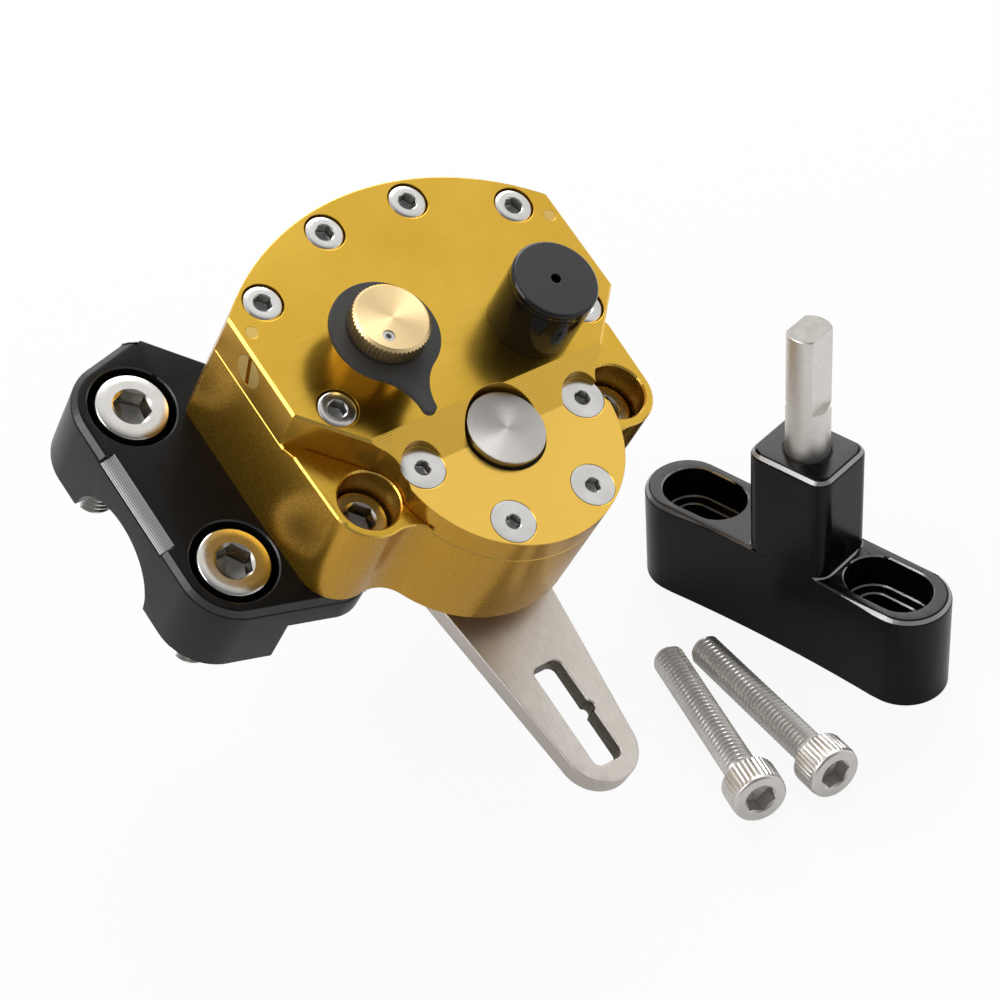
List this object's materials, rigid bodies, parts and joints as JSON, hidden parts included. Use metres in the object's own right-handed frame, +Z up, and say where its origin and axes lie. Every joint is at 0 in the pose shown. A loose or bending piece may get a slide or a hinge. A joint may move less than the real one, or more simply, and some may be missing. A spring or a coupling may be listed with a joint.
{
  "type": "steering damper",
  "caption": "Rotary steering damper on a bar clamp with adjuster knob, reservoir cap and slotted link arm, shown with its tower bracket, drive pin and loose screws.",
  "frame": {"origin": "on the bench, midway between the tower bracket's two slots", "axes": "+X along the tower bracket's base, +Z up, +Y away from the damper"},
  "size_m": [0.1307, 0.1059, 0.0902],
  "materials": {
    "gold": "gold anodised, satin",
    "black_anodised": "black anodised, satin",
    "stainless": "bright stainless",
    "satin_steel": "satin steel",
    "spring_steel": "drawn wire",
    "brass": "turned brass",
    "bronze": "sintered bronze",
    "seal_rubber": "nitrile rubber"
  },
  "bodies": {
    "housing": {"body_housing": "gold", "top_cover": "gold", "cover_screws": "stainless", "nose_screws": "stainless", "dowel_pins": "brass", "cover_gasket": "seal_rubber", "upper_bush": "bronze", "lower_bush": "bronze", "upper_seal": "seal_rubber", "lower_seal": "seal_rubber", "relief_plug": "brass", "relief_spring": "spring_steel", "valve_collar": "brass", "reservoir_cap": "black_anodised", "cap_seal": "seal_rubber", "reservoir_spring": "spring_steel", "bar_clamp": "black_anodised", "clamp_bolts": "stainless", "body_bolts": "stainless", "tower_bracket": "black_anodised", "tower_screws": "stainless"},
    "vane": {"vane_shaft": "satin_steel", "vane_seal": "seal_rubber", "link_arm": "satin_steel", "arm_washer": "stainless", "arm_bolt": "stainless"},
    "knob": {"adjuster_knob": "brass", "knob_grub_screw": "stainless", "valve_spindle": "satin_steel", "spindle_ring": "seal_rubber"},
    "needle": {"needle_valve": "satin_steel", "needle_ring": "seal_rubber"},
    "pointer": {"pointer_ring": "black_anodised"},
    "piston": {"reservoir_piston": "satin_steel", "piston_ring": "seal_rubber"},
    "ball": {"relief_ball": "satin_steel"},
    "pin": {"tower_pin": "satin_steel", "pin_ring": "seal_rubber"}
  },
  "joints": [
    {"name": "arm_swing", "type": "hinge", "parent": "housing", "child": "vane", "pos_m": [-0.0282, -0.0468, 0.05832], "axis": [0.4666, 0.0351, 0.8838], "range_deg": [-40, 40]},
    {"name": "knob_turn", "type": "hinge", "parent": "housing", "child": "knob", "pos_m": [-0.03983, -0.05706, 0.08524], "axis": [0.4666, 0.0351, 0.8838], "range_deg": [-540, 540]},
    {"name": "needle_travel", "type": "slide", "parent": "housing", "child": "needle", "axis": [0.4666, 0.0351, 0.8838], "range_m": [-0.0012, 0.0012]},
    {"name": "pointer_turn", "type": "hinge", "parent": "housing", "child": "pointer", "pos_m": [-0.04077, -0.05713, 0.08347], "axis": [0.4666, 0.0351, 0.8838], "continuous": true},
    {"name": "piston_travel", "type": "slide", "parent": "housing", "child": "piston", "axis": [0.4666, 0.0351, 0.8838], "range_m": [-0.002, 0.003], "stiffness_N_per_m": 150, "deforming": ["reservoir_spring"]},
    {"name": "relief_lift", "type": "slide", "parent": "housing", "child": "ball", "axis": [-0.1671, -0.9777, 0.1271], "range_m": [0, 0.0012], "stiffness_N_per_m": 200, "springref_m": -0.001, "deforming": ["relief_spring"]},
    {"name": "pin_turn", "type": "hinge", "parent": "housing", "child": "pin", "pos_m": [0.0025, 0, 0.045], "axis": [0, 0, 1], "continuous": true}
  ],
  "couplings": [
    {"joint": "needle_travel", "follows": "knob_turn", "m_per_rad": 0.000127}
  ]
}
